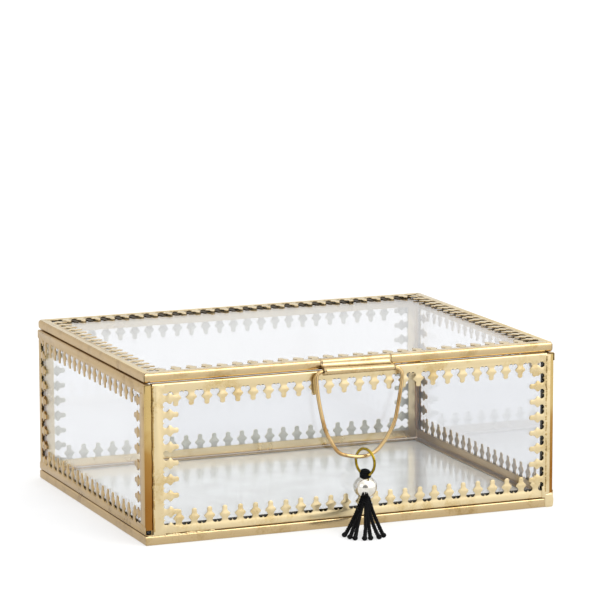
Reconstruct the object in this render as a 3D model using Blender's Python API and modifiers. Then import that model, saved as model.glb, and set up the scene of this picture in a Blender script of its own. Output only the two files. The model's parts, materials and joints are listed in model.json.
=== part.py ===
"""Jewelry box: glass walls and a hinged glass lid in stamped brass gallery strip, a mirror base,
and a wire handle on the lid that carries a jump ring, a bead and a tassel.

The origin is the middle of the underside, +Z is up and the front faces -Y. All sizes are in metres.
"""

import math

import bmesh
import bpy
from mathutils import Matrix, Vector

# Overall sizes.
BOX_WIDTH = 0.200
BOX_DEPTH = 0.150
BODY_HEIGHT = 0.072
LID_THICKNESS = 0.0044
LID_GAP = 0.0009
LID_FRONT_INSET = 0.0013
LID_SIDE_INSET = 0.0003

# Brass sheet and the channels that it is folded into.
SHEET = 0.0004
WALL_THICKNESS = 0.0032
BASE_RAIL_HEIGHT = 0.0043
BASE_RAIL_REACH = 0.0056
FIT = 0.0003
MITRE_CUT = 0.0002

# The stamped edge: a plain band, then one finial every pitch, pointing over the glass.
BAND_HEIGHT = 0.0038
FINIAL_PITCH = 0.00735
FINIAL_LENGTH = 0.0066
FINIAL_NECK_WIDTH = 0.0029
FINIAL_LOBE_WIDTH = 0.0054
FINIAL_LOBE_HEIGHT = 0.0030
FINIAL_TIP_WIDTH = 0.0018
FINIAL_CLEARANCE = 0.0006

# The hinge along the back edge.
PIN_RADIUS = 0.0008
PIN_OVERHANG = 0.0010
KNUCKLE_WALL = 0.0006
BODY_KNUCKLE_LENGTH = 0.030
LID_KNUCKLE_LENGTH = 0.060
HINGE_LEAF_THICKNESS = 0.0005

# The wire handle and the sleeve on the lid that it turns in.
HANDLE_X = 0.0015
HANDLE_WIRE_RADIUS = 0.0009
HANDLE_HALF_WIDTH = 0.0209
HANDLE_DROP = 0.0390
HANDLE_CORNER_RADIUS = 0.0032
HANDLE_LEG_TAPER = 0.08
HANDLE_TILT = math.radians(7.2)
HANDLE_AXIS_BELOW_LID = 0.0007
LOOP_SQUARENESS = 2.6
LOOP_FULLNESS = 0.45
TAIL_THINNING = 0.0001
TAIL_LENGTH = 0.0105
SLEEVE_LENGTH = 0.0348
SLEEVE_SHEET = 0.0005
SLEEVE_HOOK = 0.0026

# The charm: jump ring, thread knot, bead and tassel.
RING_RADIUS = 0.0060
RING_WIRE_RADIUS = 0.00065
RING_OFFSET_X = 0.0009
RING_LIFT = 0.0034
RING_TURN = math.radians(22)
KNOT_RADIUS = 0.0028
KNOT_HEIGHT = 0.0050
KNOT_LOOSENESS = 0.00035
KNOT_SINK = 0.0002
BEAD_RADIUS = 0.0054
BEAD_HALF_HEIGHT = 0.00495
CORD_CORE_RADIUS = 0.0015
STRAND_RADIUS = 0.00095
STRAND_REST = 0.0001
STRAND_LENGTH = 0.0262
STRAND_STEEPEST = 0.97
TASSEL_TURN = math.radians(26)
TASSEL_FAN = math.radians(53)
TASSEL_STRANDS = 7

ROUND_STEPS = 20

# The knot's outline from its top to its foot, as shares of its radius and its height.
KNOT_OUTLINE = ((0.65, 1.0), (1.0, 0.75), (1.0, 0.2), (0.9, 0.0))

# Places worked out from the sizes above.
LID_BOTTOM = BODY_HEIGHT + LID_GAP
LID_TOP = LID_BOTTOM + LID_THICKNESS
LID_FRONT = -BOX_DEPTH / 2 + LID_FRONT_INSET
LID_BACK = BOX_DEPTH / 2
LID_WIDTH = BOX_WIDTH - 2 * LID_SIDE_INSET
LID_DEPTH = LID_BACK - LID_FRONT
PANEL_FOOT = BASE_RAIL_HEIGHT + FIT
PANEL_HEIGHT = BODY_HEIGHT - PANEL_FOOT
FRONT_PANEL_WIDTH = BOX_WIDTH - 2 * (WALL_THICKNESS + FIT)
GLASS_EDGE = SHEET + FIT
KNUCKLE_BORE = PIN_RADIUS + FIT
KNUCKLE_RADIUS = KNUCKLE_BORE + KNUCKLE_WALL
HINGE_LEAF_HEIGHT = LID_THICKNESS
HINGE_Y = BOX_DEPTH / 2 + FIT + KNUCKLE_RADIUS
HINGE_Z = BODY_HEIGHT + LID_GAP / 2
CURL_RADIUS = HANDLE_WIRE_RADIUS + FIT + SLEEVE_SHEET
HANDLE_Y = -BOX_DEPTH / 2 - FIT - CURL_RADIUS
HANDLE_Z = LID_BOTTOM - HANDLE_AXIS_BELOW_LID
TAIL_RADIUS = HANDLE_WIRE_RADIUS - TAIL_THINNING
TAIL_OFFSET = 2 * HANDLE_WIRE_RADIUS + FIT
LOOP_END = Vector((
    HANDLE_X,
    HANDLE_Y - HANDLE_DROP * math.sin(HANDLE_TILT),
    HANDLE_Z - HANDLE_DROP * math.cos(HANDLE_TILT),
))
RING_CENTRE = LOOP_END + Vector((RING_OFFSET_X, 0, RING_LIFT - RING_RADIUS))
RING_FOOT = RING_CENTRE - Vector((0, 0, RING_RADIUS))
BEAD_TOP = RING_FOOT.z - RING_WIRE_RADIUS + FIT / 2
BEAD_Z = BEAD_TOP - BEAD_HALF_HEIGHT
BEAD_HOLE = CORD_CORE_RADIUS + FIT
KNOT_FOOT = BEAD_TOP - KNOT_SINK
KNOT_BORE = RING_WIRE_RADIUS + KNOT_LOOSENESS
CORE_JOINT = BEAD_Z + BEAD_HALF_HEIGHT / 2

# Colours as linear RGB, with metallic and roughness.
FINISHES = {
    "brass": ((0.72, 0.52, 0.26), 1.0, 0.32),
    "mirror": ((0.86, 0.88, 0.87), 1.0, 0.03),
    "felt": ((0.03, 0.03, 0.035), 0.0, 0.95),
    "silver": ((0.88, 0.88, 0.86), 1.0, 0.12),
    "black_cord": ((0.008, 0.008, 0.010), 0.0, 0.8),
    "glass": ((0.90, 0.96, 0.94), 0.0, 0.03),
}

parts = None
helpers = None


def clear_scene():
    for old in list(bpy.data.objects):
        bpy.data.objects.remove(old, do_unlink=True)


def new_collection(name):
    collection = bpy.data.collections.new(name)
    bpy.context.scene.collection.children.link(collection)
    return collection


def finish_material(name, finish):
    colour, metallic, roughness = FINISHES[finish]
    material = bpy.data.materials.new(name)
    material.use_nodes = True
    shader = material.node_tree.nodes["Principled BSDF"]
    shader.inputs["Base Color"].default_value = (*colour, 1)
    shader.inputs["Metallic"].default_value = metallic
    shader.inputs["Roughness"].default_value = roughness
    if finish == "glass":
        shader.inputs["Transmission Weight"].default_value = 1.0
    return material


def place(name, mesh, finish, matrix=None, parent=None):
    """Make the named part from a mesh, at its matrix in the world."""
    part = bpy.data.objects.new(name, mesh)
    parts.objects.link(part)
    part.data.materials.clear()
    part.data.materials.append(finish_material(name + "_" + finish, finish))
    if parent is not None:
        part.parent = parent
        part.matrix_parent_inverse = parent.matrix_world.inverted()
    part.matrix_world = matrix or Matrix()
    return part


def pivot(name, place_at, tilt=(0, 0, 0), parent=None):
    """An empty on a joint's axis, which carries the pieces that turn about it."""
    empty = bpy.data.objects.new(name, None)
    parts.objects.link(empty)
    empty.empty_display_size = 0.01
    empty.location = place_at
    empty.rotation_euler = tilt
    bpy.context.view_layer.update()
    if parent is not None:
        world = empty.matrix_world.copy()
        empty.parent = parent
        empty.matrix_parent_inverse = parent.matrix_world.inverted()
        empty.matrix_world = world
        bpy.context.view_layer.update()
    return empty


def helper(name, data):
    """A cutter or an addition: never rendered, drawn as wire."""
    thing = bpy.data.objects.new(name, data)
    helpers.objects.link(thing)
    thing.hide_render = True
    thing.display_type = "WIRE"
    return thing


def mesh_of(thing):
    """The evaluated mesh of a helper, welded, in the helper's own world place."""
    graph = bpy.context.evaluated_depsgraph_get()
    mesh = bpy.data.meshes.new_from_object(thing.evaluated_get(graph))
    mesh.transform(thing.matrix_world)
    work = bmesh.new()
    work.from_mesh(mesh)
    bmesh.ops.remove_doubles(work, verts=work.verts, dist=1e-6)
    bmesh.ops.recalc_face_normals(work, faces=work.faces)
    work.to_mesh(mesh)
    work.free()
    return mesh


def outline_mesh(name, points, thickness):
    """A flat closed outline, in X and Y, with its thickness centred on Z."""
    curve = bpy.data.curves.new(name, "CURVE")
    curve.dimensions = "2D"
    curve.fill_mode = "BOTH"
    curve.extrude = thickness / 2
    spline = curve.splines.new("POLY")
    spline.points.add(len(points) - 1)
    for point, (x, y) in zip(spline.points, points):
        point.co = (x, y, 0, 1)
    spline.use_cyclic_u = True
    thing = helper(name, curve)
    mesh = mesh_of(thing)
    bpy.data.objects.remove(thing)
    return mesh


def wire_mesh(name, points, radius, closed=False):
    """A round wire along the points, with filled ends."""
    curve = bpy.data.curves.new(name, "CURVE")
    curve.dimensions = "3D"
    curve.bevel_depth = radius
    curve.bevel_resolution = 2
    curve.use_fill_caps = not closed
    spline = curve.splines.new("POLY")
    spline.points.add(len(points) - 1)
    for spline_point, point in zip(spline.points, points):
        spline_point.co = (*point, 1)
    spline.use_cyclic_u = closed
    thing = helper(name, curve)
    mesh = mesh_of(thing)
    bpy.data.objects.remove(thing)
    mesh.shade_smooth()
    return mesh


def box_mesh(name, low, high):
    mesh = bpy.data.meshes.new(name)
    work = bmesh.new()
    bmesh.ops.create_cube(work, size=1)
    low, high = Vector(low), Vector(high)
    size = high - low
    middle = Matrix.Translation((low + high) / 2)
    bmesh.ops.transform(work, matrix=middle @ Matrix.Diagonal((*size, 1)), verts=work.verts)
    work.to_mesh(mesh)
    work.free()
    return mesh


def rod_mesh(name, radius, length):
    """A cylinder along X, centred on the origin."""
    mesh = bpy.data.meshes.new(name)
    work = bmesh.new()
    turn = Matrix.Rotation(math.pi / 2, 4, "Y")
    bmesh.ops.create_cone(
        work, cap_ends=True, segments=ROUND_STEPS, radius1=radius, radius2=radius, depth=length, matrix=turn
    )
    work.to_mesh(mesh)
    work.free()
    return mesh


def turned_mesh(name, profile):
    """A profile of (radius, height) points, listed from the top down, turned about Z."""
    mesh = bpy.data.meshes.new(name + "_profile")
    edges = [(i, i + 1) for i in range(len(profile) - 1)]
    mesh.from_pydata([(radius, 0, height) for radius, height in profile], edges, [])
    thing = helper(name, mesh)
    screw = thing.modifiers.new("turn", "SCREW")
    screw.steps = ROUND_STEPS
    screw.render_steps = ROUND_STEPS
    screw.use_merge_vertices = True
    screw.merge_threshold = 0.00001
    bpy.context.view_layer.update()
    turned = mesh_of(thing)
    bpy.data.objects.remove(thing)
    turned.shade_smooth()
    turned.set_sharp_from_angle(angle=math.radians(40))
    return turned


def combined(name, mesh, steps):
    """The mesh after each (operation, other mesh) in turn, as one closed solid."""
    thing = helper(name, mesh)
    others = []
    for number, (operation, other_mesh) in enumerate(steps):
        other = helper(f"{name}_{number}", other_mesh)
        others.append(other)
        boolean = thing.modifiers.new(operation.lower(), "BOOLEAN")
        boolean.operation = operation
        boolean.solver = "EXACT"
        boolean.object = other
    bpy.context.view_layer.update()
    solid = mesh_of(thing)
    for old in [thing, *others]:
        bpy.data.objects.remove(old)
    return solid


def finial_outline(middle):
    """One finial from right to left: neck, side lobe, tip, side lobe, neck."""
    halves = [
        (FINIAL_NECK_WIDTH / 2, 0),
        (FINIAL_LOBE_WIDTH / 2, FINIAL_LOBE_HEIGHT),
        (FINIAL_TIP_WIDTH / 2, FINIAL_LENGTH),
    ]
    right = [(middle + x, BAND_HEIGHT + z) for x, z in halves]
    left = [(middle - x, BAND_HEIGHT + z) for x, z in reversed(halves)]
    return right + left


def finial_middles(length, margin):
    """Where the finials stand along a strip, evenly about its middle."""
    count = int((length - 2 * margin) / FINIAL_PITCH)
    first = -(count - 1) / 2 * FINIAL_PITCH
    return [first + number * FINIAL_PITCH for number in range(count)]


def mitred_channel(name, section, length, inward):
    """A section of (Y, Z) points run along X, with its ends cut at 45 degrees to the inward axis."""
    mesh = outline_mesh(name, section, length)
    mesh.transform(Matrix(((0, 0, 1, 0), (1, 0, 0, 0), (0, 1, 0, 0), (0, 0, 0, 1))))
    for vertex in mesh.vertices:
        vertex.co.x = math.copysign(length / 2 - MITRE_CUT - vertex.co[inward], vertex.co.x)
    return mesh


def gallery_strip(name, length, thickness, margin):
    """Brass channel along X with its web on Z = 0, opening to +Z, and finials on its -Y face."""
    half = length / 2 - MITRE_CUT
    outline = [(-half, 0), (half, 0), (half - BAND_HEIGHT, BAND_HEIGHT)]
    for middle in reversed(finial_middles(length, margin)):
        outline += finial_outline(middle)
    outline.append((-half + BAND_HEIGHT, BAND_HEIGHT))
    face = outline_mesh(name + "_face", outline, SHEET)
    outer = -thickness / 2
    stand_up = Matrix.Rotation(math.pi / 2, 4, "X")
    face.transform(Matrix.Translation((0, outer + SHEET / 2, 0)) @ stand_up)
    inner = thickness / 2
    angle_section = [
        (outer + SHEET / 2, 0),
        (inner, 0),
        (inner, BAND_HEIGHT),
        (inner - SHEET, BAND_HEIGHT),
        (inner - SHEET, SHEET),
        (outer + SHEET / 2, SHEET),
    ]
    angle = mitred_channel(name + "_angle", angle_section, length, inward=2)
    return combined(name, face, [("UNION", angle)])


def plain_channel(name, length, height, reach):
    """Brass channel along X: its web stands on Y = 0 and it opens to +Y."""
    section = [
        (0, 0),
        (reach, 0),
        (reach, SHEET),
        (SHEET, SHEET),
        (SHEET, height - SHEET),
        (reach, height - SHEET),
        (reach, height),
        (0, height),
    ]
    return mitred_channel(name, section, length, inward=1)


def build_base():
    """The mirror, the felt under it and the four rails that hold them."""
    rails = {
        "front": (BOX_WIDTH, 0, (0, -BOX_DEPTH / 2, 0)),
        "back": (BOX_WIDTH, math.pi, (0, BOX_DEPTH / 2, 0)),
        "left": (BOX_DEPTH, -math.pi / 2, (-BOX_WIDTH / 2, 0, 0)),
        "right": (BOX_DEPTH, math.pi / 2, (BOX_WIDTH / 2, 0, 0)),
    }
    for side, (length, turn, at) in rails.items():
        mesh = plain_channel("base_rail", length, BASE_RAIL_HEIGHT, BASE_RAIL_REACH)
        matrix = Matrix.Translation(at) @ Matrix.Rotation(turn, 4, "Z")
        place("base_rail_" + side, mesh, "brass", matrix)
    x = BOX_WIDTH / 2 - GLASS_EDGE
    y = BOX_DEPTH / 2 - GLASS_EDGE
    mirror = box_mesh("mirror", (-x, -y, GLASS_EDGE), (x, y, BASE_RAIL_HEIGHT - GLASS_EDGE))
    place("base_mirror", mirror, "mirror")
    x = BOX_WIDTH / 2 - BASE_RAIL_REACH - FIT
    y = BOX_DEPTH / 2 - BASE_RAIL_REACH - FIT
    place("base_felt", box_mesh("felt", (-x, -y, 0), (x, y, SHEET)), "felt")


def build_wall(side, width, turn, at):
    """One wall: a pane of glass in four mitred gallery strips."""
    wall = Matrix.Translation(at) @ Matrix.Rotation(turn, 4, "Z")
    half = width / 2 - GLASS_EDGE
    glass_half = WALL_THICKNESS / 2 - SHEET - FIT
    glass = box_mesh(
        side + "_pane", (-half, -glass_half, GLASS_EDGE), (half, glass_half, PANEL_HEIGHT - GLASS_EDGE)
    )
    place(side + "_glass", glass, "glass", wall)
    along = BAND_HEIGHT + FINIAL_CLEARANCE
    upright = along + FINIAL_LENGTH
    middle = PANEL_HEIGHT / 2
    strips = {
        "bottom": (width, along, 0, (0, 0, 0)),
        "top": (width, along, math.pi, (0, 0, PANEL_HEIGHT)),
        "left": (PANEL_HEIGHT, upright, math.pi / 2, (-width / 2, 0, middle)),
        "right": (PANEL_HEIGHT, upright, -math.pi / 2, (width / 2, 0, middle)),
    }
    for edge, (length, margin, roll, centre) in strips.items():
        mesh = gallery_strip(f"{side}_{edge}", length, WALL_THICKNESS, margin)
        matrix = wall @ Matrix.Translation(centre) @ Matrix.Rotation(roll, 4, "Y")
        place(f"{side}_strip_{edge}", mesh, "brass", matrix)


def build_walls():
    """The side walls run the full depth, and the front and back walls stand between them."""
    inward = WALL_THICKNESS / 2
    y = BOX_DEPTH / 2 - inward
    x = BOX_WIDTH / 2 - inward
    build_wall("front", FRONT_PANEL_WIDTH, 0, (0, -y, PANEL_FOOT))
    build_wall("back", FRONT_PANEL_WIDTH, math.pi, (0, y, PANEL_FOOT))
    build_wall("left", BOX_DEPTH, -math.pi / 2, (-x, 0, PANEL_FOOT))
    build_wall("right", BOX_DEPTH, math.pi / 2, (x, 0, PANEL_FOOT))


def build_lid(lid):
    """The lid's glass in four mitred strips, with the finials on top."""
    middle_y = (LID_FRONT + LID_BACK) / 2
    middle_z = (LID_BOTTOM + LID_TOP) / 2
    x = LID_WIDTH / 2 - GLASS_EDGE
    y = LID_DEPTH / 2 - GLASS_EDGE
    z = LID_THICKNESS / 2 - SHEET - FIT
    centre = Matrix.Translation((0, middle_y, middle_z))
    place("lid_glass", box_mesh("lid_pane", (-x, -y, -z), (x, y, z)), "glass", centre, lid)
    along = BAND_HEIGHT + FINIAL_CLEARANCE
    rails = {
        "front": (LID_WIDTH, along, 0, LID_DEPTH / 2),
        "back": (LID_WIDTH, along, math.pi, LID_DEPTH / 2),
        "left": (LID_DEPTH, along + FINIAL_LENGTH, -math.pi / 2, LID_WIDTH / 2),
        "right": (LID_DEPTH, along + FINIAL_LENGTH, math.pi / 2, LID_WIDTH / 2),
    }
    lay_down = Matrix.Rotation(-math.pi / 2, 4, "X")
    for side, (length, margin, turn, out) in rails.items():
        mesh = gallery_strip("lid_" + side, length, LID_THICKNESS, margin)
        matrix = centre @ Matrix.Rotation(turn, 4, "Z") @ Matrix.Translation((0, -out, 0)) @ lay_down
        place("lid_rail_" + side, mesh, "brass", matrix, lid)


def knuckle(name, length, way):
    """A rolled tube along X with a leaf up (1) or down (-1) the back of the rail."""
    tube = rod_mesh(name + "_tube", KNUCKLE_RADIUS, length)
    bore = rod_mesh(name + "_bore", KNUCKLE_BORE, length * 2)
    near = -KNUCKLE_RADIUS
    leaf_z = sorted((0.0, way * HINGE_LEAF_HEIGHT))
    leaf = box_mesh(
        name + "_leaf",
        (-length / 2, near, leaf_z[0]),
        (length / 2, near + HINGE_LEAF_THICKNESS, leaf_z[1]),
    )
    return combined(name, tube, [("UNION", leaf), ("DIFFERENCE", bore)])


def build_hinge(lid):
    """Two knuckles on the body, one on the lid between them, and the wire pin."""
    span = LID_KNUCKLE_LENGTH / 2 + FIT + BODY_KNUCKLE_LENGTH / 2
    axis = Matrix.Translation((0, HINGE_Y, HINGE_Z))
    for side, x in (("left", -span), ("right", span)):
        mesh = knuckle("knuckle_" + side, BODY_KNUCKLE_LENGTH, -1)
        place("hinge_knuckle_" + side, mesh, "brass", Matrix.Translation((x, 0, 0)) @ axis)
    place("hinge_knuckle_lid", knuckle("knuckle_lid", LID_KNUCKLE_LENGTH, 1), "brass", axis, lid)
    pin_length = LID_KNUCKLE_LENGTH + 2 * (FIT + BODY_KNUCKLE_LENGTH + PIN_OVERHANG)
    place("hinge_pin", rod_mesh("pin", PIN_RADIUS, pin_length), "brass", axis)


def build_sleeve(lid):
    """The strap hooked over the lid's front rail and curled round the handle wire."""
    half = SLEEVE_LENGTH / 2
    strap_back = LID_FRONT - FIT - HANDLE_Y
    strap_front = strap_back - SLEEVE_SHEET
    strap_top = LID_TOP + FIT + SLEEVE_SHEET - HANDLE_Z
    curl = rod_mesh("curl", CURL_RADIUS, SLEEVE_LENGTH)
    bore = rod_mesh("curl_bore", CURL_RADIUS - SLEEVE_SHEET, SLEEVE_LENGTH * 2)
    shelf_low = CURL_RADIUS - SLEEVE_SHEET
    shelf = box_mesh("shelf", (-half, 0, shelf_low), (half, strap_back, CURL_RADIUS))
    strap = box_mesh("strap", (-half, strap_front, shelf_low), (half, strap_back, strap_top))
    hook = box_mesh(
        "hook",
        (-half, strap_front, strap_top - SLEEVE_SHEET),
        (half, strap_back + SLEEVE_HOOK, strap_top),
    )
    steps = [("UNION", shelf), ("UNION", strap), ("UNION", hook), ("DIFFERENCE", bore)]
    mesh = combined("sleeve", curl, steps)
    place("handle_sleeve", mesh, "brass", Matrix.Translation((HANDLE_X, HANDLE_Y, HANDLE_Z)), lid)


def loop_half_width(drop):
    """Half the loop's width at a distance below its axis: tapered legs that round into a bowl."""
    below = max(0.0, drop - HANDLE_CORNER_RADIUS)
    share = min(1.0, below / (HANDLE_DROP - HANDLE_CORNER_RADIUS))
    return (HANDLE_HALF_WIDTH - HANDLE_LEG_TAPER * below) * (1 - share**LOOP_SQUARENESS) ** LOOP_FULLNESS


def loop_side():
    """Points down the right side of the loop, from the bar to just short of the bottom."""
    straight = HANDLE_HALF_WIDTH - HANDLE_CORNER_RADIUS
    points = []
    for step in range(5):
        angle = step / 4 * math.pi / 2
        across = straight + HANDLE_CORNER_RADIUS * math.sin(angle)
        points.append((across, HANDLE_CORNER_RADIUS * (1 - math.cos(angle))))
    for step in range(1, 14):
        share = math.sin(step / 14 * math.pi / 2)
        drop = HANDLE_CORNER_RADIUS + share * (HANDLE_DROP - HANDLE_CORNER_RADIUS)
        points.append((loop_half_width(drop), drop))
    return points


def build_handle(lid):
    """The closed wire loop with its short tail, hanging a little forward of the front wall."""
    side = loop_side()
    right = [Vector((x, 0, -drop)) for x, drop in side]
    left = [Vector((-x, 0, -drop)) for x, drop in reversed(side)]
    bottom = [Vector((0, 0, -HANDLE_DROP))]
    loop = wire_mesh("loop", right + bottom + left, HANDLE_WIRE_RADIUS, closed=True)
    out = -HANDLE_HALF_WIDTH - TAIL_OFFSET
    bend = HANDLE_CORNER_RADIUS * 0.6
    tail_points = [
        (out, 0, -TAIL_LENGTH),
        (out, 0, -bend),
        (out + bend * 0.3, 0, -bend * 0.3),
        (out + bend, 0, 0),
        (out + TAIL_OFFSET + HANDLE_CORNER_RADIUS * 1.3, 0, 0),
    ]
    tail = wire_mesh("tail", [Vector(point) for point in tail_points], TAIL_RADIUS)
    mesh = combined("handle", loop, [("UNION", tail)])
    mesh.shade_smooth()
    axis = pivot("handle_axis", (HANDLE_X, HANDLE_Y, HANDLE_Z), (-HANDLE_TILT, 0, 0), lid)
    place("handle_loop", mesh, "brass", axis.matrix_world.copy(), axis)
    return axis


def ring_points(radius):
    """A circle that stands in the ring's own plane, about the ring's centre."""
    way = Vector((math.sin(RING_TURN), -math.cos(RING_TURN), 0))
    points = []
    for step in range(24):
        angle = 2 * math.pi * step / 24
        points.append(RING_CENTRE + radius * (math.cos(angle) * way + math.sin(angle) * Vector((0, 0, 1))))
    return points


def build_ring(handle):
    axis = pivot("ring_axis", LOOP_END + Vector((RING_OFFSET_X, 0, 0)), parent=handle)
    mesh = wire_mesh("ring", ring_points(RING_RADIUS), RING_WIRE_RADIUS, closed=True)
    place("jump_ring", mesh, "brass", None, axis)
    return axis


def build_knot(charm):
    """The wrapped thread that holds the ring's foot, with its neck in the bead's hole."""
    profile = [(0, KNOT_FOOT + KNOT_HEIGHT)]
    profile += [(KNOT_RADIUS * out, KNOT_FOOT + KNOT_HEIGHT * up) for out, up in KNOT_OUTLINE]
    neck_foot = CORE_JOINT + FIT
    profile += [(CORD_CORE_RADIUS, KNOT_FOOT), (CORD_CORE_RADIUS, neck_foot), (0, neck_foot)]
    barrel = turned_mesh("knot", profile)
    barrel.transform(Matrix.Translation((RING_FOOT.x, RING_FOOT.y, 0)))
    bore = wire_mesh("knot_bore", ring_points(RING_RADIUS), KNOT_BORE, closed=True)
    place("thread_knot", combined("knot_solid", barrel, [("DIFFERENCE", bore)]), "black_cord", None, charm)


def build_bead(charm):
    profile = []
    start = math.asin(BEAD_HOLE / BEAD_RADIUS)
    steps = 8
    for step in range(steps + 1):
        angle = start + (math.pi - 2 * start) * step / steps
        profile.append((BEAD_RADIUS * math.sin(angle), BEAD_HALF_HEIGHT * math.cos(angle)))
    profile.append(profile[0])
    mesh = turned_mesh("bead", profile)
    place("bead", mesh, "silver", Matrix.Translation((RING_FOOT.x, RING_FOOT.y, BEAD_Z)), charm)


def strand_tips():
    """The strands' tips: an arc on the ground in front of the bead, or above it if they hang free."""
    top = Vector((RING_FOOT.x, RING_FOOT.y, BEAD_Z - BEAD_HALF_HEIGHT))
    drop = min(top.z - STRAND_RADIUS - STRAND_REST, STRAND_STEEPEST * STRAND_LENGTH)
    reach = math.sqrt(STRAND_LENGTH**2 - drop**2)
    tips = []
    for number in range(TASSEL_STRANDS):
        share = number / (TASSEL_STRANDS - 1) - 0.5
        angle = TASSEL_TURN + share * TASSEL_FAN
        tips.append(top + Vector((-reach * math.sin(angle), -reach * math.cos(angle), -drop)))
    return top, tips


def build_tassel(charm):
    """The strands as one plain body that fans out below the bead, with the cord core in the bead."""
    top, tips = strand_tips()
    work = bmesh.new()
    neck = Matrix.Translation(top - Vector((0, 0, FIT)))
    bmesh.ops.create_circle(work, cap_ends=False, radius=CORD_CORE_RADIUS, segments=8, matrix=neck)
    for tip in tips:
        bmesh.ops.create_icosphere(
            work, subdivisions=1, radius=STRAND_RADIUS, matrix=Matrix.Translation(tip)
        )
    hull = bmesh.ops.convex_hull(work, input=work.verts)
    inside = {v for v in hull["geom_interior"] if isinstance(v, bmesh.types.BMVert)}
    unused = {v for v in hull["geom_unused"] if isinstance(v, bmesh.types.BMVert)}
    bmesh.ops.delete(work, geom=list(inside | unused), context="VERTS")
    wanted = {f for f in hull["geom"] if isinstance(f, bmesh.types.BMFace)}
    bmesh.ops.delete(work, geom=[f for f in work.faces if f not in wanted], context="FACES_ONLY")
    loose = [v for v in work.verts if not v.link_faces]
    bmesh.ops.delete(work, geom=loose, context="VERTS")
    fan = bpy.data.meshes.new("fan")
    work.to_mesh(fan)
    work.free()
    length = CORE_JOINT - (top.z - STRAND_RADIUS * 2)
    core = rod_mesh("core", CORD_CORE_RADIUS, length)
    upright = Matrix.Rotation(math.pi / 2, 4, "Y")
    middle = Matrix.Translation((top.x, top.y, CORE_JOINT - length / 2))
    core.transform(middle @ upright)
    place("tassel", combined("tassel_solid", core, [("UNION", fan)]), "black_cord", None, charm)


def build_charm(ring):
    charm = pivot("charm_axis", RING_FOOT, (0, 0, 0), ring)
    build_knot(charm)
    build_bead(charm)
    build_tassel(charm)


def main():
    global parts, helpers
    clear_scene()
    parts = new_collection("jewelry_box")
    helpers = new_collection("cutters")
    build_base()
    build_walls()
    lid = pivot("lid_axis", (0, HINGE_Y, HINGE_Z))
    build_lid(lid)
    build_hinge(lid)
    build_sleeve(lid)
    handle = build_handle(lid)
    ring = build_ring(handle)
    build_charm(ring)


main()
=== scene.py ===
"""A glass jewelry box in stamped brass strip, with a mirror base, a hinged lid and a tasselled handle."""

import json
import math
import random
from dataclasses import dataclass, replace

import bmesh
import bpy
from bpy.props import FloatProperty, FloatVectorProperty, IntProperty, PointerProperty, StringProperty
from mathutils import Euler, Matrix, Vector, noise


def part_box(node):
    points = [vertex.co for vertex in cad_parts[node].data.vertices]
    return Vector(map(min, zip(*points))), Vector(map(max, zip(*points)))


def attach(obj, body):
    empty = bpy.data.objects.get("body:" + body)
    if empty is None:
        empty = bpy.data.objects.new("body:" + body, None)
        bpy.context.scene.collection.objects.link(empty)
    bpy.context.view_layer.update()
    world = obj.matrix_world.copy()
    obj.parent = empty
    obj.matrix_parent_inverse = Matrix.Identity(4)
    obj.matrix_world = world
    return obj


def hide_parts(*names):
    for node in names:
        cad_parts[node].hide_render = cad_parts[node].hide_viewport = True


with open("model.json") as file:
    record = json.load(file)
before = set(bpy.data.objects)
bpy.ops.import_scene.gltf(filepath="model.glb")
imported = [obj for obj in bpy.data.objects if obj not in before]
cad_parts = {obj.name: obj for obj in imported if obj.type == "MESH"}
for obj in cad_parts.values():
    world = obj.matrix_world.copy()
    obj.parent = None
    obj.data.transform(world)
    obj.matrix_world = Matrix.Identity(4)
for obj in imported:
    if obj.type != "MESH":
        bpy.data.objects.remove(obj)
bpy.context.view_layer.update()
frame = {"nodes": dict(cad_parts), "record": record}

bl_info = {
    "name": "Brass and glass jewelry box",
    "version": (1, 0, 0),
    "blender": (4, 5, 0),
    "location": "View3D > Sidebar > Jewelry Box",
    "description": "Dresses the jewelry box's frame in stamped brass, glass, mirror and cord",
    "category": "Object",
}

MM = 0.001
UP = Vector((0, 0, 1))
WALLS = {"front": 0.0, "back": math.pi, "left": -math.pi / 2, "right": math.pi / 2}


def joint_vector(name, key):
    """A joint's place at rest (pos_m) or its line (axis), as the frame's record gives it."""
    joints = frame["record"]["behaviour"]["joints"]
    return Vector(next(joint[key] for joint in joints if joint["name"] == name))


def span(*nodes):
    """Lowest and highest corners of the CAD nodes together."""
    boxes = [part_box(node) for node in nodes]
    low = Vector([min(box[0][axis] for box in boxes) for axis in range(3)])
    high = Vector([max(box[1][axis] for box in boxes) for axis in range(3)])
    return low, high


class GallerySettings(bpy.types.PropertyGroup):
    """Sizes of the stamped strip that edges every pane."""

    long_pitch: FloatProperty(
        name="Pitch, long walls", description="From finial to finial", default=7.30 * MM, unit="LENGTH"
    )
    side_pitch: FloatProperty(
        name="Pitch, side walls", description="From finial to finial", default=7.17 * MM, unit="LENGTH"
    )
    sheet: FloatProperty(
        name="Sheet", description="Thickness of the brass sheet", default=0.4 * MM, unit="LENGTH"
    )
    bend: FloatProperty(
        name="Finial bend", description="How far a finial's tip may be bent", default=0.28 * MM, unit="LENGTH"
    )
    gap: FloatProperty(
        name="Lid gap",
        description="Between the wall strips and the closed lid",
        default=0.35 * MM,
        unit="LENGTH",
    )


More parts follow.
